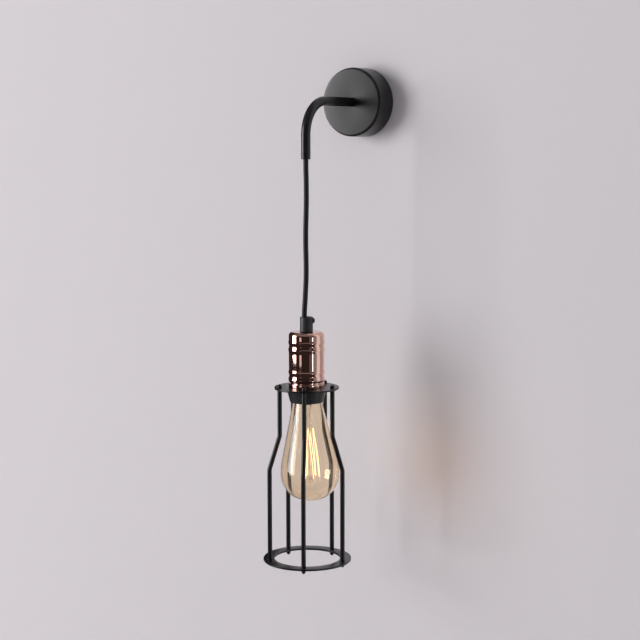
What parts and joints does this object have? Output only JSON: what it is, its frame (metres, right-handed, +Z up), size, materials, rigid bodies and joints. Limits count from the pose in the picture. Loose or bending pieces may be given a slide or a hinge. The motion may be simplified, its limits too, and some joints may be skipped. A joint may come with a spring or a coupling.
{
  "type": "cage wall light",
  "caption": "Wall light with a bent black arm, a cord pendant, a copper-coloured lamp holder and a black rod cage round an amber filament bulb.",
  "frame": {"origin": "Centre of the canopy's circular back, on the wall", "axes": "+X to the right of a person who faces the light, +Y into the wall, +Z up; the front faces -Y"},
  "size_m": [0.096, 0.163, 0.5413],
  "materials": {
    "black_coat": "satin powder coat",
    "black_screw": "satin",
    "grip_black": "satin powder coat",
    "zinc_steel": "zinc plated",
    "brass": "machined",
    "white_plastic": "moulded",
    "live_insulation": "extruded",
    "neutral_insulation": "extruded",
    "earth_insulation": "extruded",
    "cord_cover": "extruded, matt",
    "black_plastic": "moulded",
    "copper_plate": "polished copper plating",
    "porcelain": "glazed",
    "amber_glass": "clear amber tint",
    "clear_glass": "clear",
    "nickel": "nickel plated",
    "filament": "glowing carbon thread"
  },
  "bodies": {
    "wall_plate": {"wall_bracket": "zinc_steel", "canopy": "black_coat", "canopy_screws": "black_screw", "earth_screw": "brass", "earth_tag": "brass", "terminal_block": "white_plastic", "terminal_screws": "zinc_steel", "block_screw": "zinc_steel", "wall_live_core": "live_insulation", "wall_neutral_core": "neutral_insulation", "wall_earth_core": "earth_insulation", "earth_link": "earth_insulation", "arm_tube": "black_coat", "arm_nipple": "zinc_steel", "arm_washer": "zinc_steel", "arm_nut": "zinc_steel", "cord_clamp": "white_plastic", "clamp_screw": "white_plastic", "mouth_bush": "black_plastic", "cord_in_arm": "cord_cover"},
    "cord_swing_out": {"cord_bend_cores": "live_insulation"},
    "cord_swing_side": {"cord_bend_lining": "cord_cover"},
    "pendant": {"cord_bend_cover": "cord_cover", "cord_drop": "cord_cover", "cord_tail": "cord_cover", "cord_grip": "grip_black", "grip_nipple": "zinc_steel", "grip_nut": "zinc_steel", "holder_cap": "copper_plate", "holder_skirt": "copper_plate", "holder_insert": "porcelain", "holder_sleeve": "porcelain", "thread_shell": "brass", "centre_contact": "brass", "holder_terminals": "brass", "terminal_clamps": "zinc_steel", "holder_live_core": "live_insulation", "holder_neutral_core": "neutral_insulation", "holder_earth_core": "earth_insulation"},
    "grip_screw_body": {"grip_screw": "grip_black"},
    "cage": {"cage_plate": "black_coat", "cage_hoop": "black_coat", "cage_rod_1": "black_coat", "cage_rod_2": "black_coat", "cage_rod_3": "black_coat", "cage_rod_4": "black_coat", "cage_rod_5": "black_coat"},
    "ring": {"shade_ring": "black_coat"},
    "bulb_carrier": {"bulb_contact": "nickel"},
    "bulb": {"bulb_glass": "amber_glass", "bulb_cap": "nickel", "bulb_insulator": "black_plastic", "bulb_stem": "clear_glass", "bulb_leads": "nickel", "bulb_hooks": "nickel", "bulb_filament": "filament"}
  },
  "joints": [
    {"name": "swing_out", "type": "hinge", "parent": "wall_plate", "child": "cord_swing_out", "pos_m": [0, -0.115, -0.0625], "axis": [1, 0, 0], "range_deg": [-30, 8]},
    {"name": "swing_side", "type": "hinge", "parent": "cord_swing_out", "child": "cord_swing_side", "pos_m": [0, -0.115, -0.0625], "axis": [0, 1, 0], "range_deg": [-30, 30]},
    {"name": "cord_twist", "type": "hinge", "parent": "cord_swing_side", "child": "pendant", "pos_m": [0, -0.115, -0.0625], "axis": [0, 0, 1], "range_deg": [-90, 90], "stiffness_Nm_per_rad": 0.003},
    {"name": "grip_screw_turn", "type": "hinge", "parent": "pendant", "child": "grip_screw_body", "pos_m": [0, -0.115, -0.235], "axis": [0.829, 0.5592, 0], "range_deg": [0, 360]},
    {"name": "cage_drop", "type": "slide", "parent": "pendant", "child": "cage", "axis": [0, 0, -1], "range_m": [0, 0.002]},
    {"name": "ring_unscrew", "type": "hinge", "parent": "cage", "child": "ring", "pos_m": [0, -0.115, -0.317], "axis": [0, 0, -1], "range_deg": [0, 360]},
    {"name": "bulb_travel", "type": "slide", "parent": "pendant", "child": "bulb_carrier", "axis": [0.0318, 0.0215, -0.9993], "range_m": [0, 0.00907]},
    {"name": "bulb_unscrew", "type": "hinge", "parent": "bulb_carrier", "child": "bulb", "pos_m": [0, -0.115, -0.312], "axis": [0.0318, 0.0215, -0.9993], "range_deg": [0, 900]}
  ],
  "couplings": [
    {"joint": "ring_unscrew", "follows": "cage_drop", "rad_per_m": 3141.6},
    {"joint": "bulb_unscrew", "follows": "bulb_travel", "rad_per_m": 1731.4}
  ]
}
